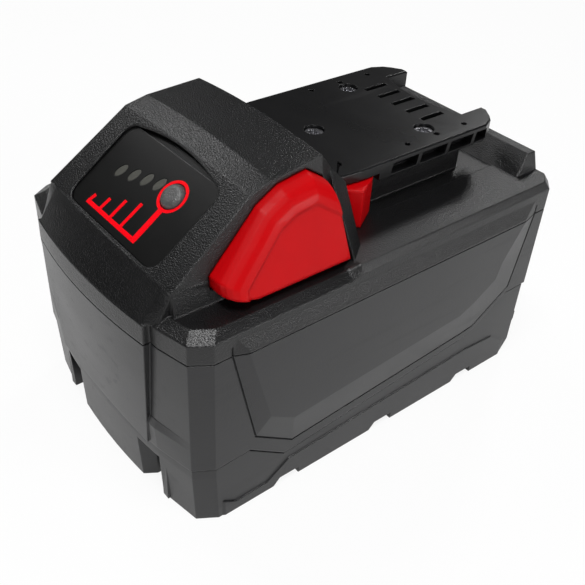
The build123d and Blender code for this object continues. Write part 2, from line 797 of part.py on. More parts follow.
            extrude(amount=case_screw_tip + slide_fit)
        add(bore.part, mode=Mode.SUBTRACT)
    for (x, y), radius in zip(plate_screw_spots, plate_boss_radii):
        with BuildSketch(Plane.XY.offset(deck_height - rib_root)):
            with Locations((x, y)):
                Circle(radius)
        extrude(amount=plate_bottom - deck_height + rib_root)
        with BuildSketch(Plane.XY.offset(plate_bottom)):
            with Locations((x, y)):
                Circle(plate_pilot_radius)
        extrude(amount=-plate_screw_length, mode=Mode.SUBTRACT)
    for y in slot_spots:
        with BuildSketch(Plane.YZ.offset(tower_rear_wall - slide_fit)):
            with BuildLine():
                Polyline((y - slot_width / 2, slot_bottom), (y + slot_width / 2, slot_bottom),
                         (y + slot_width / 2, plate_top), (y - slot_width / 2, plate_top), close=True)
            make_face()
        extrude(amount=overrun, mode=Mode.SUBTRACT)
save(top_cover, "top_cover")

# Slide plate with the blade slots, side windows and two rear horns
plate_gap = 0.15
plate_front_half = 24.4
plate_shoulder_x = 2.0
horn_points = [
    (51.85, 25.2), (55.75, 23.4), (57.65, 21.4), (59.85, 18.2), (59.85, 15.9), (50.95, 15.9),
]
plate_rear_middle = 48.2
flank_windows = [(13.55, 23.45), (24.85, 35.05), (36.45, 45.95), (47.25, 52.6)]
flank_window_sill = 0.6
flank_window_height = 3.1
flank_window_bottom = plate_bottom + flank_window_sill
flank_window_top = flank_window_bottom + flank_window_height
flank_window_depth = 3.0
flank_window_lean = 0.6
blind_hole_radius = 0.9
blind_hole_depth = 2.4
blind_hole_y = 21.0
blind_hole_spots = [23.25, 34.85, 46.55]
plate_edge = 0.4

with BuildPart() as rail_plate:
    plate_front = (tower_front + plate_gap, plate_front_half)
    plate_side = [plate_front, (plate_shoulder_x, plate_half_width), *horn_points]
    with BuildSketch(Plane.XY.offset(plate_bottom)):
        with BuildLine():
            Polyline(*[(x, -y) for x, y in plate_side])
            ThreePointArc((horn_points[-1][0], -horn_points[-1][1]), (plate_rear_middle, 0), horn_points[-1])
            Polyline(*reversed(plate_side), (plate_side[0][0], -plate_side[0][1]))
        make_face()
    extrude(amount=plate_top - plate_bottom)
    chamfer(rail_plate.edges().group_by(Axis.Z)[-1], plate_edge)
    for side in (-1, 1):
        for front, rear in flank_windows:
            opening = [
                (front, flank_window_bottom), (rear, flank_window_bottom),
                (rear + flank_window_lean, flank_window_top), (front + flank_window_lean, flank_window_top),
            ]
            extrude(side_face(opening, side * plate_half_width), amount=flank_window_depth, both=True,
                    mode=Mode.SUBTRACT)
        notch = [
            (tower_front, plate_bottom - overrun), (window_rear, plate_bottom - overrun),
            (window_rear, window_top), (tower_front, window_top),
        ]
        extrude(side_face(notch, side * window_inner_y), amount=-side * half_width, mode=Mode.SUBTRACT)
    with BuildSketch(Plane.XY.offset(plate_top)):
        with Locations(*[(x, side * blind_hole_y) for x in blind_hole_spots for side in (-1, 1)]):
            Circle(blind_hole_radius)
    extrude(amount=-blind_hole_depth, mode=Mode.SUBTRACT)
    with BuildSketch(Plane.XY.offset(plate_top)):
        with Locations(*plate_screw_spots):
            Circle(plate_sink_radius)
    extrude(amount=-plate_sink_depth, mode=Mode.SUBTRACT)
    with BuildSketch(Plane.XY.offset(plate_top)):
        with Locations(*plate_screw_spots):
            Circle(plate_screw_hole)
    extrude(amount=plate_bottom - plate_top, mode=Mode.SUBTRACT)
    for y in slot_spots:
        with BuildSketch(Plane.XY.offset(plate_top)):
            with Locations(((slot_front + slot_rear) / 2, y)):
                Rectangle(slot_rear - slot_front, slot_width)
        extrude(amount=plate_bottom - plate_top, mode=Mode.SUBTRACT)
        with BuildSketch(Plane.XY.offset(plate_top - slot_bridge)):
            with Locations(((slot_front + body_length) / 2, y)):
                Rectangle(body_length - slot_front, slot_width)
        extrude(amount=plate_bottom - plate_top, mode=Mode.SUBTRACT)
save(rail_plate, "rail_plate")

# Screws with a six-lobed recess
lobe_spread_share = 0.5
lobe_radius_share = 0.2
recess_depth_share = 0.6


def screw(x, y, seat, side, head_radius, head_height, shank_radius, length):
    """One screw: its head stands on the seat towards side, its shank goes the other way."""
    with BuildPart(mode=Mode.PRIVATE) as made:
        with BuildSketch(Plane.XY.offset(seat)):
            with Locations((x, y)):
                Circle(head_radius)
        extrude(amount=side * head_height)
        with BuildSketch(Plane.XY.offset(seat)):
            with Locations((x, y)):
                Circle(shank_radius)
        extrude(amount=-side * length)
        with BuildSketch(Plane.XY.offset(seat + side * head_height)):
            with Locations((x, y)):
                Circle(head_radius * lobe_spread_share)
                with PolarLocations(head_radius * lobe_spread_share, 6):
                    Circle(head_radius * lobe_radius_share)
        extrude(amount=-side * head_height * recess_depth_share, mode=Mode.SUBTRACT)
    return made.part


with BuildPart() as rail_screws:
    for x, y in plate_screw_spots:
        add(screw(x, y, plate_top - plate_sink_depth, 1, plate_head_radius, plate_head_height,
                  plate_screw_radius, plate_screw_length))
save(rail_screws, "rail_screws")

with BuildPart() as case_screws:
    for x, y in column_spots:
        add(screw(x, y, case_head_seat, -1, case_head_radius, case_head_height,
                  case_screw_radius, case_screw_tip - case_head_seat))
save(case_screws, "case_screws")

def rim_outline(inset, spread):
    """The button's outline in x and z with its rim sides moved in, the other sides moved out."""
    sides = []
    for index, (x, z) in enumerate(latch_points):
        next_x, next_z = latch_points[(index + 1) % len(latch_points)]
        run = math.dist((x, z), (next_x, next_z))
        in_x = (next_z - z) / run
        in_z = (x - next_x) / run
        shift = inset if index in latch_rim_sides else -spread
        sides.append((in_x, in_z, in_x * x + in_z * z + shift))
    corners = []
    for index, (a, b, c) in enumerate(sides):
        d, e, f = sides[index - 1]
        corners.append(((f * b - c * e) / (d * b - a * e), (d * c - a * f) / (d * b - a * e)))
    return corners


def rim_section(side, outer_plane, depth, inset, spread=0.0):
    """Face of the button at one depth below its leaning outer plane."""
    drop = latch_foot_z - depth * math.sin(latch_lean)
    with BuildSketch(outer_plane.offset(-depth)) as drawn:
        with BuildLine():
            Polyline(*[(x, -side * (z - drop) / math.cos(latch_lean))
                       for x, z in rim_outline(inset, spread)], close=True)
        make_face()
    return drawn.sketch


# Squeeze latches: button, arm and catch wedge in one piece, on both sides
hook_points = [
    (hook_front, arm_inner_y), (hook_front, hook_front_y), (hook_ridge_x, hook_ridge_y),
    (arm_rear, hook_rear_y), (arm_rear, arm_inner_y),
]
latch_pocket = 2.6
for side, name in ((-1, "latch_right"), (1, "latch_left")):
    lean_plane = Plane(
        origin=(0, side * latch_foot_y, latch_foot_z), x_dir=(1, 0, 0),
        z_dir=(0, side * math.cos(latch_lean), math.sin(latch_lean)),
    )
    rounds = [math.pi / 2 * step / latch_round_steps for step in range(latch_round_steps + 1)]
    rim_sections = [
        rim_section(side, lean_plane, latch_round * (1 - math.sin(turn)), latch_round * (1 - math.cos(turn)))
        for turn in rounds
    ]
    recess_start = latch_round + recess_step
    with BuildPart() as latch:
        loft([side_face(latch_points, side * latch_inner_y), *rim_sections], ruled=True)
        loft([rim_section(side, lean_plane, recess_depth, recess_start + recess_slope, recess_reach),
              rim_section(side, lean_plane, -recess_depth, recess_start - recess_slope, recess_reach)],
             ruled=True, mode=Mode.SUBTRACT)
        with BuildSketch(Plane.XZ.offset(-side * latch_inner_y)):
            with BuildLine():
                Polyline(*latch_points, close=True)
            make_face()
            offset(amount=-latch_pocket, kind=Kind.INTERSECTION)
        extrude(amount=-side * (spring_seat_y - latch_inner_y), mode=Mode.SUBTRACT)
        arm_face = [
            (arm_front, arm_bottom), (arm_rear, arm_bottom), (arm_rear, arm_top), (arm_front, arm_top),
        ]
        extrude(side_face(arm_face, side * arm_inner_y), amount=-side * (arm_outer_y - arm_inner_y))
        root_face = [
            (arm_front, arm_bottom), (arm_root_rear, arm_bottom),
            (arm_root_rear, arm_top), (arm_front, arm_top),
        ]
        extrude(side_face(root_face, side * arm_inner_y),
                amount=-side * (latch_inner_y + arm_root_overlap - arm_inner_y))
        with BuildSketch(Plane.XY.offset(hook_bottom)):
            with BuildLine():
                Polyline(*[(x, side * y) for x, y in hook_points], close=True)
            make_face()
        extrude(amount=hook_top - hook_bottom)
    save(latch, name)

# Coil springs behind the buttons, as plain sleeves of the coil's size
for side, name in ((-1, "latch_spring_right"), (1, "latch_spring_left")):
    with BuildPart() as latch_spring:
        with BuildSketch(Plane.XZ.offset(-side * (spring_wall_y + small_gap))):
            with Locations((spring_x, spring_z)):
                Circle(spring_radius)
                Circle(spring_radius - spring_wire, mode=Mode.SUBTRACT)
        extrude(amount=-side * (spring_seat_y - spring_wall_y - small_gap * 2))
    save(latch_spring, name)

# Level gauge: panel, lamp windows, test button, board, lamps and switch
window_spots = [(-12.1, 14.5), (-7.0, 15.7), (-2.2, 16.8), (2.5, 17.9)]
window_minor = 1.25
window_major = 2.15
window_turn = 68.0
gauge_button_spot = (9.05, 17.6)
gauge_button_radius = 3.55
gauge_button_fit = 0.2
gauge_button_rise = 0.9
gauge_button_dome = 1.7
gauge_flange_radius = 4.5
gauge_flange_thickness = 0.8
gauge_stem_radius = 1.5
gauge_travel = 0.8
gauge_switch_size = 6.0
gauge_switch_height = 1.4
lamp_length = 2.0
lamp_width = 1.2
lamp_height = 1.0
lens_gap = 0.05
panel_back = gauge_recess
panel_face = gauge_recess - gauge_panel_thickness
flange_top = panel_back + small_gap
flange_bottom = flange_top + gauge_flange_thickness
stem_bottom = gauge_board_depth - gauge_switch_height - gauge_travel - small_gap

with BuildPart() as gauge_panel:
    with BuildSketch(gauge_plane.offset(-panel_back)):
        with Locations((0, gauge_center)):
            RectangleRounded(gauge_width - gauge_fit * 2, gauge_height - gauge_fit * 2,
                             gauge_corner - gauge_fit)
        with Locations(gauge_button_spot):
            Circle(gauge_button_radius + gauge_button_fit, mode=Mode.SUBTRACT)
        with Locations(*window_spots):
            Ellipse(window_major + lens_gap, window_minor + lens_gap, rotation=window_turn,
                    mode=Mode.SUBTRACT)
    extrude(amount=gauge_panel_thickness)
    with BuildSketch(gauge_plane.offset(-panel_back)):
        add(brow(gauge_fit))
    extrude(amount=gauge_lip_thickness)
save(gauge_panel, "gauge_panel")

with BuildPart() as gauge_windows:
    with BuildSketch(gauge_plane.offset(-panel_back)):
        with Locations(*window_spots):
            Ellipse(window_major, window_minor, rotation=window_turn)
    extrude(amount=gauge_panel_thickness - lens_gap)
save(gauge_windows, "gauge_windows")

with BuildPart() as gauge_button:
    with BuildSketch(gauge_plane.offset(-flange_bottom)):
        with Locations(gauge_button_spot):
            Circle(gauge_flange_radius)
    extrude(amount=gauge_flange_thickness)
    with BuildSketch(gauge_plane.offset(-flange_top)):
        with Locations(gauge_button_spot):
            Circle(gauge_button_radius)
    extrude(amount=flange_top + gauge_button_rise)
    fillet(gauge_button.edges().sort_by(Axis(gauge_plane.origin, gauge_plane.z_dir))[-1], gauge_button_dome)
    with BuildSketch(gauge_plane.offset(-stem_bottom)):
        with Locations(gauge_button_spot):
            Circle(gauge_stem_radius)
    extrude(amount=stem_bottom - flange_bottom)
save(gauge_button, "gauge_button")

with BuildPart() as gauge_board:
    with BuildSketch(gauge_plane.offset(-gauge_board_depth)):
        with Locations((0, gauge_center)):
            Rectangle(gauge_board_width, gauge_board_height)
    extrude(amount=-gauge_board_thickness)
save(gauge_board, "gauge_board")

with BuildPart() as gauge_leds:
    with BuildSketch(gauge_plane.offset(-gauge_board_depth)):
        with Locations(*window_spots):
            Rectangle(lamp_length, lamp_width)
    extrude(amount=lamp_height)
save(gauge_leds, "gauge_leds")

with BuildPart() as gauge_switch:
    with BuildSketch(gauge_plane.offset(-gauge_board_depth)):
        with Locations(gauge_button_spot):
            Rectangle(gauge_switch_size, gauge_switch_size)
    extrude(amount=gauge_switch_height)
save(gauge_switch, "gauge_switch")

cable_x = -45.0
cable_width = 9.0
cable_thickness = 0.4
with BuildPart() as gauge_cable:
    with BuildSketch(Plane.XY.offset(board_top)):
        with Locations((cable_x, 0)):
            Rectangle(cable_thickness, cable_width)
    extrude(amount=head_height - board_top)
    split(bisect_by=gauge_plane.offset(-gauge_board_depth - gauge_board_thickness), keep=Keep.BOTTOM)
save(gauge_cable, "gauge_cable")

# Cells in their two holders
cell_groove_place = 3.2
cell_groove_width = 1.2
cap_radius = 4.6
cap_ring = 1.2
cap_depth = 0.4
for column in range(cell_columns):
    for layer in range(cell_layers):
        x = (column - (cell_columns - 1) / 2) * column_pitch
        z = first_layer + layer * layer_pitch
        positive = 1 if column % 2 else -1
        cell_plane = Plane(origin=(x, positive * cell_length / 2, z), x_dir=(1, 0, 0),
                           z_dir=(0, positive, 0))
        with BuildPart() as cell:
            with BuildSketch(cell_plane):
                Circle(cell_radius)
            extrude(amount=-cell_length)
            with BuildSketch(cell_plane.offset(-cell_groove_place)):
                Circle(cell_radius)
                Circle(cell_radius - cell_groove, mode=Mode.SUBTRACT)
            extrude(amount=-cell_groove_width, mode=Mode.SUBTRACT)
            with BuildSketch(cell_plane):
                Circle(cap_radius + cap_ring)
                Circle(cap_radius, mode=Mode.SUBTRACT)
            extrude(amount=-cap_depth, mode=Mode.SUBTRACT)
        save(cell, f"cell_{column + 1}_{layer + 1}")

cell_columns_x = [(column - (cell_columns - 1) / 2) * column_pitch for column in range(cell_columns)]
cell_layers_z = [first_layer + layer * layer_pitch for layer in range(cell_layers)]
cell_spots = [(x, z) for x in cell_columns_x for z in cell_layers_z]
holder_inner = cell_length / 2 - holder_grip
for side, name in ((-1, "cell_holder_right"), (1, "cell_holder_left")):
    with BuildPart() as holder:
        corners = [
            (-holder_half_length, holder_bottom), (holder_half_length, holder_bottom),
            (holder_half_length, holder_top), (-holder_half_length, holder_top),
        ]
        extrude(side_face(corners, side * holder_inner), amount=-side * (holder_face - holder_inner))
        with BuildSketch(Plane.XZ.offset(-side * holder_inner)):
            with Locations(*cell_spots):
                Circle(pocket_radius)
        extrude(amount=-side * holder_grip, mode=Mode.SUBTRACT)
        with BuildSketch(Plane.XZ.offset(-side * holder_inner)):
            with Locations(*cell_spots):
                Circle(window_radius)
        extrude(amount=-side * (holder_face - holder_inner), mode=Mode.SUBTRACT)
    save(holder, name)

# Nickel straps: each joins the cell ends of one or two columns
strap_half_width = cell_radius - strap_margin
strap_weld_radius = window_radius - strap_margin
strap_groups = [
    (1, "strap_left_1", [0]), (1, "strap_left_2", [1, 2]), (1, "strap_left_3", [3, 4]),
    (-1, "strap_right_1", [0, 1]), (-1, "strap_right_2", [2, 3]), (-1, "strap_right_3", [4]),
]
for side, name, columns in strap_groups:
    with BuildPart() as strap:
        low_x = cell_columns_x[columns[0]] - strap_half_width
        high_x = cell_columns_x[columns[-1]] + strap_half_width
        low_z = first_layer - strap_half_width
        corners = [(low_x, low_z), (high_x, low_z), (high_x, holder_top), (low_x, holder_top)]
        extrude(side_face(corners, side * holder_face), amount=-side * strap_thickness)
        with BuildSketch(Plane.XZ.offset(-side * cell_length / 2)):
            with Locations(*[(cell_columns_x[column], z) for column in columns for z in cell_layers_z]):
                Circle(strap_weld_radius)
        extrude(amount=-side * holder_lip)
    save(strap, name)

# Insulating sheets over the straps
sheet_top = holder_top - small_gap
for side, name in ((-1, "insulator_right"), (1, "insulator_left")):
    with BuildPart() as insulator:
        corners = [
            (-holder_half_length, holder_bottom + small_gap),
            (holder_half_length, holder_bottom + small_gap),
            (holder_half_length, sheet_top), (-holder_half_length, sheet_top),
        ]
        extrude(side_face(corners, side * (strap_face + small_gap)), amount=-side * insulator_thickness)
    save(insulator, name)

# Protection board on top of the holders, with its parts
board_front = -48.0
board_rear = 47.0
board_half_width = 22.0
board_notch = 4.0
transistor_size = (10.0, 8.5, 4.4)
transistor_spots = [(-26.0, -13.0), (-26.0, 0.0), (-26.0, 13.0)]
chip_size = (7.0, 5.0, 0.9)
chip_spots = [(-12.0, -8.0), (-12.0, 8.0), (-38.0, -13.0)]
resistor_size = (6.3, 11.0, 1.1)
resistor_spot = (-38.0, 14.0)

with BuildPart() as main_board:
    with BuildSketch(Plane.XY.offset(board_bottom)):
        with Locations(((board_front + board_rear) / 2, 0)):
            Rectangle(board_rear - board_front, board_half_width * 2)
        with Locations((board_front, board_half_width), (board_front, -board_half_width)):
            Circle(board_notch, mode=Mode.SUBTRACT)
    extrude(amount=board_thickness)
save(main_board, "main_board")

with BuildPart() as board_transistors:
    with Locations(*[(x, y, board_top) for x, y in transistor_spots]):
        Box(*transistor_size, align=(Align.CENTER, Align.CENTER, Align.MIN))
save(board_transistors, "board_transistors")

with BuildPart() as board_chips:
    with Locations(*[(x, y, board_top) for x, y in chip_spots]):
        Box(*chip_size, align=(Align.CENTER, Align.CENTER, Align.MIN))
save(board_chips, "board_chips")

with BuildPart() as board_resistor:
    with Locations((*resistor_spot, board_top)):
        Box(*resistor_size, align=(Align.CENTER, Align.CENTER, Align.MIN))
save(board_resistor, "board_resistor")

# Terminal block under the slots and the five contacts in it
block_front = 31.0
block_rear = tower_rear_wall - slide_fit
block_half_width = 13.8
block_slot_width = 2.3
block_slot_front = 33.0
contact_sink = 2.0
block_slot_floor = slot_bottom - contact_sink
contact_front = 34.0
contact_rear = 44.6
contact_leaf = 0.5
contact_half_width = 1.0
contact_pinch = 0.45
contact_pinch_x = 41.5
contact_top_gap = 1.0
contact_top = plate_bottom - contact_top_gap
contact_base = 0.6
tail_front = 36.0
tail_rear = 40.0
tail_half_width = 0.5

with BuildPart() as terminal_block:
    with BuildSketch(Plane.XY.offset(board_top)):
        with Locations(((block_front + block_rear) / 2, 0)):
            Rectangle(block_rear - block_front, block_half_width * 2)
    extrude(amount=plate_bottom - small_gap - board_top)
    for y in slot_spots:
        with BuildSketch(Plane.XY.offset(block_slot_floor)):
            with Locations(((block_slot_front + body_length) / 2, y)):
                Rectangle(body_length - block_slot_front, block_slot_width)
        extrude(amount=plate_bottom, mode=Mode.SUBTRACT)
        with BuildSketch(Plane.XY.offset(board_top)):
            with Locations(((tail_front + tail_rear) / 2, y)):
                Rectangle(tail_rear - tail_front + small_gap * 2, (tail_half_width + small_gap) * 2)
        extrude(amount=plate_bottom, mode=Mode.SUBTRACT)
save(terminal_block, "terminal_block")

for index, y in enumerate(slot_spots):
    with BuildPart() as contact:
        with BuildSketch(Plane.XY.offset(block_slot_floor)):
            with Locations(((contact_front + contact_rear) / 2, y)):
                Rectangle(contact_rear - contact_front, contact_half_width * 2)
        extrude(amount=contact_base)
        for side in (-1, 1):
            inner_y = contact_half_width - contact_leaf
            pinch_outer = contact_pinch + contact_leaf - contact_leaf / 2
            leaf = [
                (contact_front, contact_half_width), (contact_pinch_x, pinch_outer),
                (contact_rear, contact_half_width), (contact_rear, inner_y),
                (contact_pinch_x, pinch_outer - contact_leaf), (contact_front, inner_y),
            ]
            with BuildSketch(Plane.XY.offset(block_slot_floor)):
                with BuildLine():
                    Polyline(*[(leaf_x, y + side * leaf_y) for leaf_x, leaf_y in leaf], close=True)
                make_face()
            extrude(amount=contact_top - block_slot_floor)
        with BuildSketch(Plane.XY.offset(board_top)):
            with Locations(((tail_front + tail_rear) / 2, y)):
                Rectangle(tail_rear - tail_front, tail_half_width * 2)
        extrude(amount=block_slot_floor - board_top)
    save(contact, f"contact_{index + 1}")

# Tabs from the straps over the holder's edge to the board
lead_width = 12.0
sense_width = 3.0
tab_inset = 2.0
tab_reach = board_half_width - tab_inset


def tab_face(x, side):
    """L-shaped side of a tab that stands on a strap's edge and lies on the board."""
    points = [
        (side * holder_face, holder_top), (side * strap_face, holder_top),
        (side * strap_face, board_top + strap_thickness), (side * tab_reach, board_top + strap_thickness),
        (side * tab_reach, board_top), (side * holder_face, board_top),
    ]
    with BuildSketch(Plane.YZ.offset(x)) as drawn:
        with BuildLine():
            Polyline(*points, close=True)
        make_face()
    return drawn.sketch


strap_pairs = [(side, (cell_columns_x[group[0]] + cell_columns_x[group[-1]]) / 2)
               for side, name, group in strap_groups]
with BuildPart() as negative_lead:
    extrude(tab_face(cell_columns_x[0], 1), amount=lead_width / 2, both=True)
save(negative_lead, "negative_lead")

with BuildPart() as positive_lead:
    extrude(tab_face(cell_columns_x[-1], -1), amount=lead_width / 2, both=True)
save(positive_lead, "positive_lead")

with BuildPart() as sense_tabs:
    for side, x in strap_pairs[1:-1]:
        extrude(tab_face(x, side), amount=sense_width / 2, both=True)
save(sense_tabs, "sense_tabs")

# Temperature sensor on the middle cell, and the pads at both ends of the cells
sensor_length = 3.0
sensor_width = 5.0
sensor_rise = small_gap / 2
with BuildPart() as thermistor:
    with Locations((0, 0, first_layer + (cell_layers - 1) * layer_pitch + cell_radius + sensor_rise)):
        Box(sensor_length, sensor_width, holder_rim + cell_fit - small_gap,
            align=(Align.CENTER, Align.CENTER, Align.MIN))
save(thermistor, "thermistor")

pad_bottom = 24.0
pad_half_width = 20.0
for end, name in ((-1, "foam_pad_front"), (1, "foam_pad_rear")):
    with BuildPart() as foam_pad:
        with BuildSketch(Plane.XY.offset(pad_bottom)):
            with Locations((end * (foam_face - foam_thickness / 2), 0)):
                Rectangle(foam_thickness, pad_half_width * 2)
        extrude(amount=end_rib_top - pad_bottom)
    save(foam_pad, name)
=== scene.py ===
# %% [markdown]
# # A battery pack for a cordless tool
# A pack of round lithium cells in a black moulded case. The tool slides over the T-shaped plate on
# top, two red squeeze buttons let it go again, and a small gauge on the sloped end shows how full
# it is. The solid shapes come from the CAD model and stay as they are. This lesson gives them
# light, a camera and finishes, and adds the few pieces that are easier to make in Blender.

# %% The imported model
import math

import bmesh
import bpy
from mathutils import Matrix, Vector


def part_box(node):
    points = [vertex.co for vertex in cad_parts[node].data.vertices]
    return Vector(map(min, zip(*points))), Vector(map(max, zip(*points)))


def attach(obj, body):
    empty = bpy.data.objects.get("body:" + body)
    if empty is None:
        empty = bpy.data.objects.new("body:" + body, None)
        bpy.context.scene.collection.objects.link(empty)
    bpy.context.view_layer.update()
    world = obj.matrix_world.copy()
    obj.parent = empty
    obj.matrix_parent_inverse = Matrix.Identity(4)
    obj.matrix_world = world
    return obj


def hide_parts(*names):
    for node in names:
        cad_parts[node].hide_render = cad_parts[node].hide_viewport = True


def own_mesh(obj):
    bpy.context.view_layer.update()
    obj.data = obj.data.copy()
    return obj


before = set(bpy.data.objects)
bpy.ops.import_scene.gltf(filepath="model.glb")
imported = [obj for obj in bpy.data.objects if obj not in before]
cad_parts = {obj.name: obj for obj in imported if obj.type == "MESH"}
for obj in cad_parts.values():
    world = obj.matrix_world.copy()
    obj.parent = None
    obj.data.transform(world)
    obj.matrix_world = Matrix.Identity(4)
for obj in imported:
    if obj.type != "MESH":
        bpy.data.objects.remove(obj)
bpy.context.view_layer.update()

print("nodes:", len(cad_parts))

# %% [markdown]
# ## Where the photographer stood
# The camera's place was worked out from the pack's own corners in the picture: about 28 cm away,
# above the gauge end and to the right of it. Azimuth, elevation and a slight roll say where it
# looks, and the lens is given for a sensor 36 mm wide. Writing the matrix column by column keeps
# these few numbers readable, where an aiming constraint would hide the roll.

# %% The camera
azimuth, elevation, roll = (math.radians(angle) for angle in (-40.59, 37.59, 3.52))
back = Vector((math.sin(azimuth) * math.cos(elevation),
               -math.cos(azimuth) * math.cos(elevation), math.sin(elevation)))
level = Vector((math.cos(azimuth), math.sin(azimuth), 0))
upright = back.cross(level)
right = math.cos(roll) * level + math.sin(roll) * upright
top = math.cos(roll) * upright - math.sin(roll) * level

camera = bpy.data.objects.new("camera", bpy.data.cameras.new("camera"))
camera.data.sensor_width = 36
camera.data.lens = 823.61 / 585 * 36
camera.data.clip_start = 0.01
camera.matrix_world = Matrix.Translation((-0.13457, -0.15995, 0.18742)) @ Matrix(
    (right, top, back)).transposed().to_4x4()
bpy.context.scene.collection.objects.link(camera)
bpy.context.scene.camera = camera
bpy.context.scene.view_settings.view_transform = "Standard"
print("lens in mm:", round(camera.data.lens, 2))

# %% [markdown]
# ## Sums on sockets
# A material is a net of small nodes, and most of them only add, multiply or compare. Wrapped in
# this class, a node's output can stand in a Python sum such as `0.4 + grain * 0.1`, and each
# operator adds its Math node. Colours and directions have their own nodes, Mix and Vector Math,
# because a Math node would turn a colour grey. Every other node is added by `node`.

# %% A socket that can be used in sums
class Wire:
    """One output socket of a node, for use in Python sums."""

    def __init__(self, tree, socket=None):
        self.tree = tree
        self.socket = socket

    def node(self, kind, settings=(), inputs=(), out=0):
        """A new node: first its settings, then the values or wires of its sockets."""
        made = self.tree.nodes.new(kind)
        for name, value in dict(settings).items():
            if name == "stops":
                while len(made.color_ramp.elements) < len(value):
                    made.color_ramp.elements.new(1)
                for element, (place, grey) in zip(made.color_ramp.elements, value):
                    element.position = place
                    element.color = (grey, grey, grey, 1)
            else:
                setattr(made, name, value)
        for name, value in dict(inputs).items():
            if isinstance(value, Wire):
                self.tree.links.new(value.socket, made.inputs[name])
            else:
                made.inputs[name].default_value = value
        return Wire(self.tree, made.outputs[out])

    def maths(self, operation, *values):
        return self.node("ShaderNodeMath", {"operation": operation}, enumerate(values))

    def vector(self, operation, *values, out=0):
        return self.node("ShaderNodeVectorMath", {"operation": operation}, enumerate(values), out)

    def mix(self, mask, first, second):
        """The first colour where the mask is 0, the second where it is 1."""
        inputs = {0: mask, 6: first, 7: second}
        return self.node("ShaderNodeMix", {"data_type": "RGBA"}, inputs, 2)

    def ramp(self, *stops):
        return self.node("ShaderNodeValToRGB", {"stops": stops}, {0: self})

    def __add__(self, other):
        return self.maths("ADD", self, other)

    def __sub__(self, other):
        return self.maths("SUBTRACT", self, other)

    def __mul__(self, other):
        return self.maths("MULTIPLY", self, other)

    def __truediv__(self, other):
        return self.maths("DIVIDE", self, other)

    def __pow__(self, other):
        return self.maths("POWER", self, other)

    def __gt__(self, other):
        return self.maths("GREATER_THAN", self, other)

    def __lt__(self, other):
        return self.maths("LESS_THAN", self, other)

    def __rsub__(self, other):
        return self.maths("SUBTRACT", other, self)

    def __rtruediv__(self, other):
        return self.maths("DIVIDE", other, self)

    __radd__ = __add__
    __rmul__ = __mul__


# %% [markdown]
# ## The studio
# The pack stands on a pale floor. A broad lamp above and a softer one beside the camera give the
# shape, one behind draws the far edges, and one low at the side reaches the catch under the plate.
# Two small bright lamps only make glints, on the grain of the deck and along the edge of the head.
# Black plastic is drawn by what it mirrors, so the room above is kept dim and the floor bright, as
# in the picture: the sides look grey and the top nearly black.

# %% Lamps
def soft_box(name, place, aim, width, height, power):
    """A broad lamp that shines from place towards aim, power in watts."""
    lamp = bpy.data.objects.new(name, bpy.data.lights.new(name, "AREA"))
    lamp.data.shape = "RECTANGLE"
    lamp.data.size = width
    lamp.data.size_y = height
    lamp.data.energy = power
    lamp.location = place
    lamp.rotation_euler = (Vector(aim) - Vector(place)).to_track_quat("-Z", "Y").to_euler()
    lamp.visible_camera = False
    bpy.context.scene.collection.objects.link(lamp)
    print(name, "gives", round(power / (math.pi * width * height), 2), "on the light meter")


near_corner, middle = (-0.03, -0.03, 0.05), (0, 0, 0.05)
deck, head = (0, -0.03, 0.07), (-0.04, -0.03, 0.08)
lamps = (
    ("lamp_above", (-0.20, -0.18, 0.90), near_corner, 0.40, 0.24, 4.4),
    ("lamp_behind", (-0.08, 0.64, 0.66), middle, 0.34, 0.26, 1.9),
    ("lamp_camera", (-0.56, -0.66, 0.52), near_corner, 0.36, 0.28, 1.1),
    ("lamp_side", (0.34, -0.76, 0.30), deck, 0.30, 0.20, 2.6),
    ("lamp_deck", (0.68, 0.33, 0.62), deck, 0.14, 0.14, 1.5),
    ("lamp_edge", (-0.30, -0.28, 0.90), head, 0.10, 0.10, 2.2),
)
for lamp in lamps:
    soft_box(*lamp)

# %% [markdown]
# The room is a world colour that only depends on the height one looks at: pale near the horizon,
# where the floor ends, dark above and a little paler overhead. The floor is a plain matt sheet,
# lifted towards pure white with its own shading left in, so it keeps the shadow. The camera sees
# floor and room nearly white. Mirrors see them dimmer, and for them the floor's white fades with
# the distance from the pack.

# %% Room and floor
ray_names = ("Is Camera Ray", "Is Glossy Ray", "Is Transmission Ray")
white_paint = (1, 1, 1, 1)
floor_white, floor_white_mirrored, room_white_mirrored = 0.88, 0.5, 0.05
room = bpy.data.worlds.new("room")
room.use_nodes = True
bpy.context.scene.world = room
sky = Wire(room.node_tree)
look = sky.node("ShaderNodeTexCoord", out="Generated")
height = sky.node("ShaderNodeSeparateXYZ", inputs={0: look}, out="Z")
room_grey = height.ramp((0.0, 0.36), (0.06, 0.16), (0.16, 0.0), (0.60, 0.0), (1.0, 0.20))
seen = [sky.node("ShaderNodeLightPath", out=ray) for ray in ray_names]
mirrored = (seen[1] + seen[2]) * room_white_mirrored
shown = seen[0].maths("MAXIMUM", seen[0], mirrored)
room_colour = sky.mix(shown, room_grey, white_paint)
backdrop = room.node_tree.nodes["Background"]
room.node_tree.links.new(room_colour.socket, backdrop.inputs["Color"])

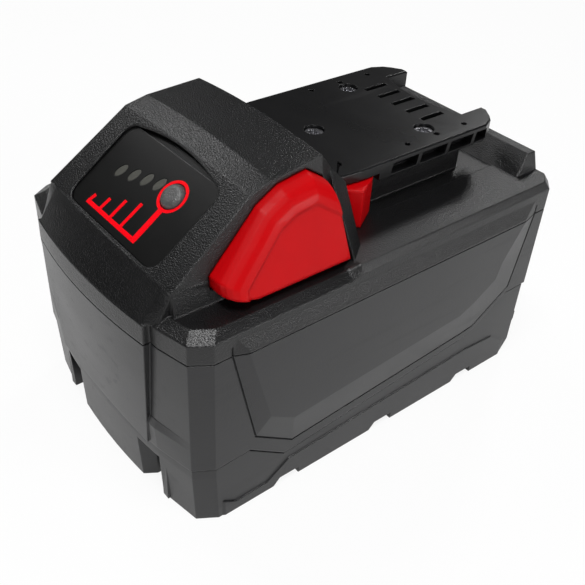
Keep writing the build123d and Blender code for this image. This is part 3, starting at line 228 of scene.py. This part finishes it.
paper = bpy.data.materials.new("white paper floor")
paper.use_nodes = True
sheet = Wire(paper.node_tree)
seen = [sheet.node("ShaderNodeLightPath", out=ray) for ray in ray_names]
spot = sheet.node("ShaderNodeNewGeometry", out="Position")
pool = spot.vector("LENGTH", spot, out="Value").ramp((0.2, 1), (0.8, 0.1))
mirrored = seen[1] + seen[2]
mirrored = mirrored.maths("MINIMUM", mirrored, 1.0) * pool
lift = mirrored.maths("MAXIMUM", mirrored * floor_white_mirrored, seen[0] * floor_white)
matt = sheet.node("ShaderNodeBsdfDiffuse", inputs={"Color": (0.85, 0.85, 0.85, 1)})
white = sheet.node("ShaderNodeEmission", inputs={"Color": white_paint, "Strength": 1.0})
covered = sheet.node("ShaderNodeMixShader", inputs={0: lift, 1: matt, 2: white})
paper_output = paper.node_tree.nodes["Material Output"]
paper.node_tree.links.new(covered.socket, paper_output.inputs["Surface"])

floor_mesh = bpy.data.meshes.new("floor")
reach, floor_height = 4.0, -0.0001
floor_mesh.from_pydata([(x, y, floor_height) for x, y in
                        ((-reach, -reach), (reach, -reach), (reach, reach), (-reach, reach))],
                       [], [(0, 1, 2, 3)])
floor_mesh.materials.append(paper)
floor = bpy.data.objects.new("floor", floor_mesh)
bpy.context.scene.collection.objects.link(floor)
print("floor side in m:", reach * 2)

# %% [markdown]
# ## What every moulded surface shares
# A moulded edge is never razor-sharp: it has a radius of some tenths of a millimetre that catches
# the light. The Bevel node bends the normal near each edge as such a radius would, without new
# geometry. Where the bent and the true normal differ there is an edge. That mask paints the edges
# paler, a painted highlight, and in the moulded plastics it also says where hands have polished
# them. Grain and stains come from noise in the pack's own coordinates.

# %% Helpers for finishes
def paint(red, green, blue):
    """A colour as a screen shows it, from 0 to 255, in the straight values that light uses."""
    shown = [value / 255 for value in (red, green, blue)]
    return (*[v / 12.92 if v < 0.04045 else ((v + 0.055) / 1.055) ** 2.4 for v in shown], 1)


def finish(name, **constants):
    """A new material, the wire to build on and its shader; constants are set on the shader."""
    material = bpy.data.materials.new(name)
    material.use_nodes = True
    shader = material.node_tree.nodes["Principled BSDF"]
    for socket, value in constants.items():
        shader.inputs[socket.replace("_", " ")].default_value = value
    return material, Wire(material.node_tree), shader


def plug(shader, **wires):
    """Join wires to the shader's sockets; a number is set there instead."""
    for socket, value in wires.items():
        target = shader.inputs[socket.replace("_", " ")]
        if isinstance(value, Wire):
            value.tree.links.new(value.socket, target)
        else:
            target.default_value = value


def place_on(wire):
    return wire.node("ShaderNodeTexCoord", out="Object")


def noise(wire, spacing, detail=2.0, stretch=(1, 1, 1)):
    """Noise from 0 to 1 whose blots are about spacing millimetres apart."""
    spot = place_on(wire)
    spot = spot.vector("MULTIPLY", spot, stretch)
    return wire.node("ShaderNodeTexNoise", inputs={
        "Vector": spot, "Scale": 1000 / spacing, "Detail": detail, "Roughness": 0.55})


def rounded(wire, radius):
    """The normal as if every edge had this radius, in millimetres, and a mask of those edges."""
    soft = wire.node("ShaderNodeBevel", {"samples": 6}, {"Radius": radius / 1000})
    true = wire.node("ShaderNodeNewGeometry", out="Normal")
    edge = 1 - soft.vector("DOT_PRODUCT", soft, true, out="Value")
    return soft, (edge * 5).ramp((0.05, 0), (0.9, 1))


def relief(wire, heights, depth, normal):
    """Heights from 0 to 1 as bumps, depth in millimetres, on top of a normal."""
    return wire.node("ShaderNodeBump", inputs={
        "Strength": 1.0, "Distance": depth / 1000, "Height": heights, "Normal": normal})


print("black as written:", [round(value, 4) for value in paint(34, 34, 35)[:3]])

# %% [markdown]
# ## The case and its darker cover
# The case is nylon filled with glass fibre, moulded in a spark-eroded tool: a fine even grain of
# about a third of a millimetre, satin rather than matt. The cover is the same dark grey plastic as
# the two lower mouldings, in a darker copy of its colours: painted shade, so that the cover's top
# looks nearly black. Both come from one recipe with other numbers: grain as bumps, a slow change of
# colour where the melt has flowed, fine scratches, and paler edges, partly rubbed and partly a
# painted highlight.

# %% Moulded plastic
def moulded(name, colour, pale, rough, grain_depth, radius=0.45, grain=0.36, level=0.5, rub_and_highlight=0.5):
    material, wire, shader = finish(name, Specular_IOR_Level=level)
    soft, edges = rounded(wire, radius)
    fine = noise(wire, grain, 1.0)
    coarse = noise(wire, grain * 3.1, 1.0)
    flow = noise(wire, 28, 3.0, (1, 0.6, 1.4)).ramp((0.35, 0), (0.65, 1))
    scratch = noise(wire, 5, 4.0, (0.08, 1.0, 1.6)).ramp((0.60, 0), (0.66, 1)) * 0.35
    # Paler edges: partly rubbed wear, partly a painted highlight; the wear also lowers the
    # roughness.
    rubbed_and_highlit = (edges * noise(wire, 3.5, 3.0).ramp((0.40, 0), (0.62, 1))) * rub_and_highlight
    tint = wire.mix(flow * 0.55, colour, pale)
    tint = wire.mix(fine.ramp((0.56, 0), (0.70, 1)) * 0.30, tint, pale)
    tint = wire.mix(rubbed_and_highlit, tint, [value * 2.6 for value in pale[:3]] + [1])
    heights = fine * 0.88 + coarse * 0.12
    plug(shader, Base_Color=tint,
         Roughness=rough + flow * 0.05 + scratch * 0.12 - rubbed_and_highlit * 0.12,
         Normal=relief(wire, heights, grain_depth, soft))
    return material


case_grey = moulded("case plastic dark grey", paint(17, 17, 19), paint(22, 22, 24), 0.34, 0.05,
                    level=0.52)
# Painted shade: the cover is the same plastic as the shell, in a darker copy of its colours.
cover_plastic_painted_darker = moulded("cover plastic painted darker", paint(10, 10, 11), paint(15, 15, 16), 0.30, 0.16,
                     radius=0.8, grain=0.36, level=0.46, rub_and_highlight=0.9)
plate_black = moulded("plate plastic black", paint(12, 12, 13), paint(17, 17, 18), 0.27, 0.02,
                      radius=0.30, level=0.36)
print("moulded finishes:", case_grey.name, "/", cover_plastic_painted_darker.name, "/", plate_black.name)

# %% [markdown]
# ## The red buttons
# The squeeze buttons are a smoother moulding in signal red, with edges rounded by more than a
# millimetre. Their colour is in the plastic, so scratches stay red and only change the gloss. A
# faint coat on the shader gives the highlight of the polished tool, and the base stays satin.

# %% Red plastic
def red_plastic(name, colour, deep):
    material, wire, shader = finish(name, Coat_Roughness=0.16, Specular_IOR_Level=0.10)
    soft, edges = rounded(wire, 1.2)
    fine = noise(wire, 0.5, 2.0)
    flow = noise(wire, 16, 3.0).ramp((0.3, 0), (0.7, 1))
    scratch = noise(wire, 4, 4.0, (0.10, 1.0, 1.5)).ramp((0.58, 0), (0.64, 1))
    tint = wire.mix(flow * 0.5, colour, deep)
    # Painted highlight: the rounded edges are painted a paler red.
    tint = wire.mix(edges * 0.35, tint, [min(1, value * 1.25) for value in colour[:3]] + [1])
    plug(shader, Base_Color=tint, Roughness=0.34 + flow * 0.05 + scratch * 0.10,
         Coat_Weight=0.04 - scratch * 0.03,
         Normal=relief(wire, fine * 0.6 + flow * 0.4, 0.018, soft))
    return material


button_red = red_plastic("button plastic red", paint(184, 3, 9), paint(168, 3, 8))
print("red finish:", button_red.name)

# %% [markdown]
# ## The gauge
# The gauge panel is a smooth black plate with a little more gloss than the case. Its four oval
# lamp windows are smoky clear plastic over unlit lamps, which reads as a warm grey, and the test
# button is a domed rubber-like cap with worn gloss.

# %% Gauge finishes
gauge_black = moulded("gauge panel black", paint(12, 12, 12), paint(15, 15, 15), 0.28, 0.008,
                      radius=0.3, level=0.3)
button_dark = moulded("test button rubber", paint(56, 56, 56), paint(84, 84, 84), 0.36, 0.20,
                      radius=0.3, grain=0.4, level=0.8)


def smoky_window(name, colour, dark):
    material, wire, shader = finish(name, Specular_IOR_Level=0.45)
    soft, _ = rounded(wire, 0.25)
    haze = noise(wire, 0.8, 3.0).ramp((0.3, 0), (0.7, 1))
    plug(shader, Base_Color=wire.mix(haze * 0.6, colour, dark), Roughness=0.35 + haze * 0.12,
         Normal=relief(wire, haze, 0.01, soft))
    return material


window_smoke = smoky_window("lamp window smoke", paint(70, 70, 64), paint(52, 52, 48))
print("gauge finishes ready")

# %% [markdown]
# ## Metal inside and out
# Screws, springs, straps and contacts are steel, nickel and copper. Each is a metallic shader
# whose roughness is streaked along the way it was rolled or drawn, with a darker film in places.
# One recipe serves them all, because only the colour, the gloss and the streaks differ.

# %% Metals
def metal(name, colour, film, rough, streak=(1, 1, 1), radius=0.12):
    material, wire, shader = finish(name)
    soft, edges = rounded(wire, radius)
    drawn = noise(wire, 0.6, 3.0, streak)
    blot = noise(wire, 6, 3.0).ramp((0.42, 0), (0.66, 1))
    plug(shader, Base_Color=wire.mix(blot * 0.6, colour, film),
         Metallic=1 - blot * 0.15, Roughness=rough + drawn * 0.12 + blot * 0.12 - edges * 0.08,
         Normal=relief(wire, drawn, 0.006, soft))
    return material


screw_steel = metal("screw steel blackened", paint(170, 170, 174), paint(84, 84, 86), 0.20)
spring_steel = metal("spring wire steel", paint(168, 168, 172), paint(120, 118, 116), 0.22)
nickel = metal("strap nickel", paint(196, 192, 184), paint(160, 154, 146), 0.26, (0.1, 1, 1))
copper = metal("contact copper", paint(214, 150, 110), paint(150, 96, 70), 0.24, (0.2, 1, 1))
print("metals:", screw_steel.name, "/", spring_steel.name, "/", nickel.name, "/", copper.name)

# %% [markdown]
# ## The pieces inside
# Nobody sees them while the case is closed, but a part that is opened, or reused in a cutaway,
# shows them all. Boards have green lacquer over copper tracks, chips are dark epoxy, the cells
# wear a shrink sleeve that leaves their steel ends bare, and the frames are plain nylon.

# %% Circuit boards
def circuit_board(name):
    material, wire, shader = finish(name, Specular_IOR_Level=0.5)
    soft, _ = rounded(wire, 0.1)
    tracks = wire.node("ShaderNodeTexBrick", inputs={
        "Vector": place_on(wire), "Scale": 420.0, "Mortar Size": 0.05, "Color1": (0, 0, 0, 1),
        "Color2": (0.2, 0.2, 0.2, 1), "Mortar": (1, 1, 1, 1)}, out=1)
    lacquer = noise(wire, 3, 2.0)
    tint = wire.mix(lacquer * 0.4, paint(20, 84, 52), paint(14, 66, 40))
    tint = wire.mix(tracks * 0.5, tint, paint(52, 120, 74))
    plug(shader, Base_Color=tint, Roughness=0.30 + lacquer * 0.12,
         Normal=relief(wire, tracks, 0.03, soft))
    return material


# %% Cells in their sleeves
def sleeved_cell(name, sleeve, faded):
    material, wire, shader = finish(name)
    soft, _ = rounded(wire, 0.3)
    along = wire.node("ShaderNodeSeparateXYZ", inputs={0: place_on(wire)}, out="Y")
    bare = along.maths("ABSOLUTE", along) > 0.0322
    crinkle = noise(wire, 2.2, 3.0, (1, 0.3, 1))
    scuff = noise(wire, 9, 3.0).ramp((0.45, 0), (0.7, 1))
    tint = wire.mix(bare, wire.mix(scuff * 0.5, sleeve, faded), paint(186, 184, 180))
    plug(shader, Base_Color=tint, Metallic=bare,
         Roughness=0.34 + crinkle * 0.14 - bare * 0.06,
         Normal=relief(wire, crinkle, 0.04, soft))
    return material


# %% Foam with open pores
def open_foam(name, colour, pore_shade):
    material, wire, shader = finish(name, Specular_IOR_Level=0.2)
    soft, _ = rounded(wire, 0.6)
    cells = wire.node("ShaderNodeTexVoronoi", inputs={"Vector": place_on(wire), "Scale": 1500.0})
    # Painted shade: the pores are painted darker than the foam.
    plug(shader, Base_Color=wire.mix(cells.ramp((0.1, 1), (0.5, 0)), colour, pore_shade),
         Roughness=0.88 + cells * 0.08, Normal=relief(wire, cells, 0.25, soft))
    return material


board_green = circuit_board("board lacquer green")
cell_sleeve = sleeved_cell("cell sleeve", paint(40, 108, 122), paint(64, 128, 140))
foam_grey = open_foam("pad foam grey", paint(74, 74, 78), paint(30, 30, 32))
chip_black = moulded("chip epoxy", paint(26, 26, 28), paint(40, 40, 42), 0.5, 0.02, radius=0.12)
frame_nylon = moulded("frame nylon natural", paint(196, 192, 178), paint(178, 172, 156), 0.45, 0.03,
                      radius=0.3, rub_and_highlight=0.1)
block_nylon = moulded("terminal nylon black", paint(28, 28, 30), paint(36, 36, 38), 0.42, 0.03,
                      radius=0.2)
fish_paper = moulded("insulating paper", paint(88, 100, 88), paint(108, 116, 100), 0.62, 0.05,
                     radius=0.1, grain=0.9, rub_and_highlight=0.1)
cable_grey = moulded("flat cable grey", paint(128, 128, 130), paint(150, 150, 152), 0.5, 0.02,
                     radius=0.15, rub_and_highlight=0.1)
lamp_clear = smoky_window("lamp lens clear", paint(206, 208, 196), paint(180, 182, 168))
print("inner finishes ready")

# %% [markdown]
# ## Dressing the CAD pieces
# Each CAD piece keeps its mesh and only gets a finish in its material slots. The table goes from
# the first letters of a piece's name to its finish, so that fifteen cells need one line. The last
# line lists what has been left bare, which should be nothing.

# %% Finish for each piece
finishes = {
    "bottom_cover": case_grey, "mid_shell": case_grey, "top_cover": cover_plastic_painted_darker,
    "rail_plate": plate_black, "latch_spring": spring_steel, "latch": button_red,
    "gauge_panel": gauge_black, "gauge_windows": window_smoke, "gauge_button": button_dark,
    "rail_screws": screw_steel, "case_screws": screw_steel, "gauge_board": board_green,
    "main_board": board_green, "gauge_leds": lamp_clear, "gauge_switch": chip_black,
    "gauge_cable": cable_grey, "board": chip_black, "cell_holder": frame_nylon,
    "cell": cell_sleeve, "strap": nickel, "sense_tabs": nickel, "insulator": fish_paper,
    "terminal_block": block_nylon, "contact": copper, "positive_lead": nickel,
    "negative_lead": nickel, "thermistor": chip_black, "foam_pad": foam_grey,
}
bare_pieces = []
for name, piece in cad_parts.items():
    starts = [start for start in finishes if name.startswith(start)]
    if not starts:
        bare_pieces.append(name)
        continue
    piece.data.materials.clear()
    piece.data.materials.append(finishes[starts[0]])
print("dressed:", len(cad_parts) - len(bare_pieces), "left bare:", bare_pieces)

# %% [markdown]
# ## Marks printed on the gauge
# The level marks are red ink on the black panel: a base line with rising strokes, and a ring
# around the test button with a short stem. Ink is thin but real, so each stroke is a plate three
# hundredths of a millimetre high. It is drawn on the panel's own plane: `across` runs to the
# right as one reads the gauge, `uphill` runs up the slope.

# %% The plane of the gauge
gauge_origin = Vector((-0.060019, 0, 0.071746))
across = Vector((0, -1, 0))
uphill = Vector((0.80576, 0, 0.59225))
outward = Vector((-0.59225, 0, 0.80576))
panel_depth = 0.4
ink_start = 0.001


def on_gauge(u, v, rise):
    """The point of the pack at u, v on the gauge, rise above the panel's face, all in mm."""
    return gauge_origin + (u * across + v * uphill + (rise - panel_depth) * outward) / 1000


def add_plate(mesh, outline, rise):
    """A thin plate with this outline, standing on the panel's face."""
    low = [mesh.verts.new(on_gauge(u, v, ink_start)) for u, v in outline]
    high = [mesh.verts.new(on_gauge(u, v, rise)) for u, v in outline]
    mesh.faces.new(high)
    mesh.faces.new(low[::-1])
    for index in range(len(outline)):
        after = (index + 1) % len(outline)
        mesh.faces.new((low[index], low[after], high[after], high[index]))


# %% Ink
def stroke(start, end, width):
    """The four corners of a straight stroke."""
    run = Vector(end) - Vector(start)
    side = Vector((-run.y, run.x)).normalized() * width / 2
    return [tuple(Vector(start) - side), tuple(Vector(end) - side),
            tuple(Vector(end) + side), tuple(Vector(start) + side)]


line_rise, stroke_rise, rise_step = 0.030, 0.031, 0.0002
base_line = stroke((9.7, 3.22), (-14.35, 2.98), 1.2)
strokes = [((8.88, 3.3), (9.1, 13.3), 1.9), ((2.1, 3.3), (2.5, 11.4), 1.15),
           ((-3.1, 3.2), (-2.7, 9.5), 1.15), ((-8.3, 3.1), (-7.8, 7.2), 1.15),
           ((-13.75, 3.1), (-13.1, 5.5), 1.15)]
ink = bmesh.new()
add_plate(ink, base_line, line_rise)
for number, (start, end, width) in enumerate(strokes):
    add_plate(ink, stroke(start, end, width), stroke_rise + number * rise_step)
ring_center, ring_inner, ring_outer, ring_rise = (9.05, 17.6), 3.78, 4.68, 0.033
ring_steps = 64
for step in range(ring_steps):
    turn = [2 * math.pi * (step + extra) / ring_steps for extra in (0, 1)]
    corners = ((ring_inner, turn[0]), (ring_outer, turn[0]),
               (ring_outer, turn[1]), (ring_inner, turn[1]))
    outline = [(ring_center[0] + radius * math.cos(angle),
                ring_center[1] + radius * math.sin(angle)) for radius, angle in corners]
    add_plate(ink, outline, ring_rise)
bmesh.ops.remove_doubles(ink, verts=ink.verts, dist=1e-7)
bmesh.ops.recalc_face_normals(ink, faces=ink.faces)
ink_mesh = bpy.data.meshes.new("gauge_marks")
ink.to_mesh(ink_mesh)
ink.free()
gauge_marks = bpy.data.objects.new("gauge_marks", ink_mesh)
bpy.context.scene.collection.objects.link(gauge_marks)
ink_red = red_plastic("printed ink red", paint(252, 2, 22), paint(244, 2, 20))
gauge_marks.data.materials.append(ink_red)
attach(gauge_marks, "pack")
print("ink faces:", len(ink_mesh.polygons))

# %% [markdown]
# ## Coil springs
# Behind each red button a wire spring pushes it out again. In the CAD model it is a plain sleeve
# of the same size. Here the wire is swept along a helix whose end turns lie closed and flat, as
# ground springs have them. The coil is fixed to the pack and keeps its length.

# %% Springs behind the buttons
def coil_spring(name, side, center_x, center_z, inner_end, outer_end, coil_radius, wire_radius):
    """A compression spring along Y, lengths in millimetres."""
    turns, steps, corners = 8.5, 22, 8
    mesh = bmesh.new()
    rings = []
    for step in range(int(turns * steps) + 1):
        turned = step / steps
        closed = min(turned, 1.0) * wire_radius * 2 + max(0, turned - turns + 1) * wire_radius * 2
        free = min(max(turned - 1, 0), turns - 2) / (turns - 2)
        run = inner_end + wire_radius
        run += closed + free * (outer_end - inner_end - wire_radius * 6)
        angle = turned * 2 * math.pi
        ring = []
        for corner in range(corners):
            around = corner * 2 * math.pi / corners
            radius = coil_radius + wire_radius * math.cos(around)
            ring.append(mesh.verts.new(Vector((
                center_x + radius * math.cos(angle), side * (run + wire_radius * math.sin(around)),
                center_z + radius * math.sin(angle))) / 1000))
        if rings:
            for corner in range(corners):
                after = (corner + 1) % corners
                mesh.faces.new((rings[-1][corner], rings[-1][after], ring[after], ring[corner]))
        rings.append(ring)
    mesh.faces.new(rings[0])
    mesh.faces.new(rings[-1])
    bmesh.ops.recalc_face_normals(mesh, faces=mesh.faces)
    for face in mesh.faces:
        face.smooth = True
    data = bpy.data.meshes.new(name)
    mesh.to_mesh(data)
    mesh.free()
    spring = bpy.data.objects.new(name, data)
    bpy.context.scene.collection.objects.link(spring)
    data.materials.append(spring_steel)
    return spring


spring_x, spring_z, spring_seat, spring_end = -30.0, 77.5, 10.1, 28.9
coil_radius, wire_radius = 2.8, 0.4
for side, name in ((1, "left"), (-1, "right")):
    spring = coil_spring("coil_" + name, side, spring_x, spring_z, spring_seat, spring_end,
                         coil_radius, wire_radius)
    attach(spring, "pack")
    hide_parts("latch_spring_" + name)
    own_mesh(spring)
    low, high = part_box("latch_spring_" + name)
    print(spring.name, "stands in for a sleeve", round((high.y - low.y) * 1000, 1), "mm long")

# %% [markdown]
# ## Foam pads
# Two foam pads wedge the block of cells inside the case. Squeezed foam is flat where it presses
# and bulges at its free rim, so each pad is a grid block whose rim is rounded and crowned. It
# stands exactly where the plain CAD block stood.

# %% Pads at the ends of the cells
pad_cuts, pad_pinch = 9, 0.035


def squeezed_pad(name, node):
    low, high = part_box(node)
    middle, half = (low + high) / 2, (high - low) / 2
    mesh = bmesh.new()
    bmesh.ops.create_cube(mesh, size=2.0)
    bmesh.ops.subdivide_edges(mesh, edges=mesh.edges, cuts=pad_cuts, use_grid_fill=True)
    for vertex in mesh.verts:
        share = vertex.co.copy()
        pinch = 1 - pad_pinch * abs(share.x) ** 4
        vertex.co = Vector((share.x, share.y * pinch, share.z * pinch))
    for face in mesh.faces:
        face.smooth = True
    mesh.transform(Matrix.Translation(middle) @ Matrix.Diagonal((*half, 1)))
    data = bpy.data.meshes.new(name)
    mesh.to_mesh(data)
    mesh.free()
    pad = bpy.data.objects.new(name, data)
    bpy.context.scene.collection.objects.link(pad)
    data.materials.append(foam_grey)
    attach(pad, "pack")
    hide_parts(node)
    print(name, "in mm:", [round(value * 2000, 1) for value in half])


squeezed_pad("pad_front", "foam_pad_front")
squeezed_pad("pad_rear", "foam_pad_rear")
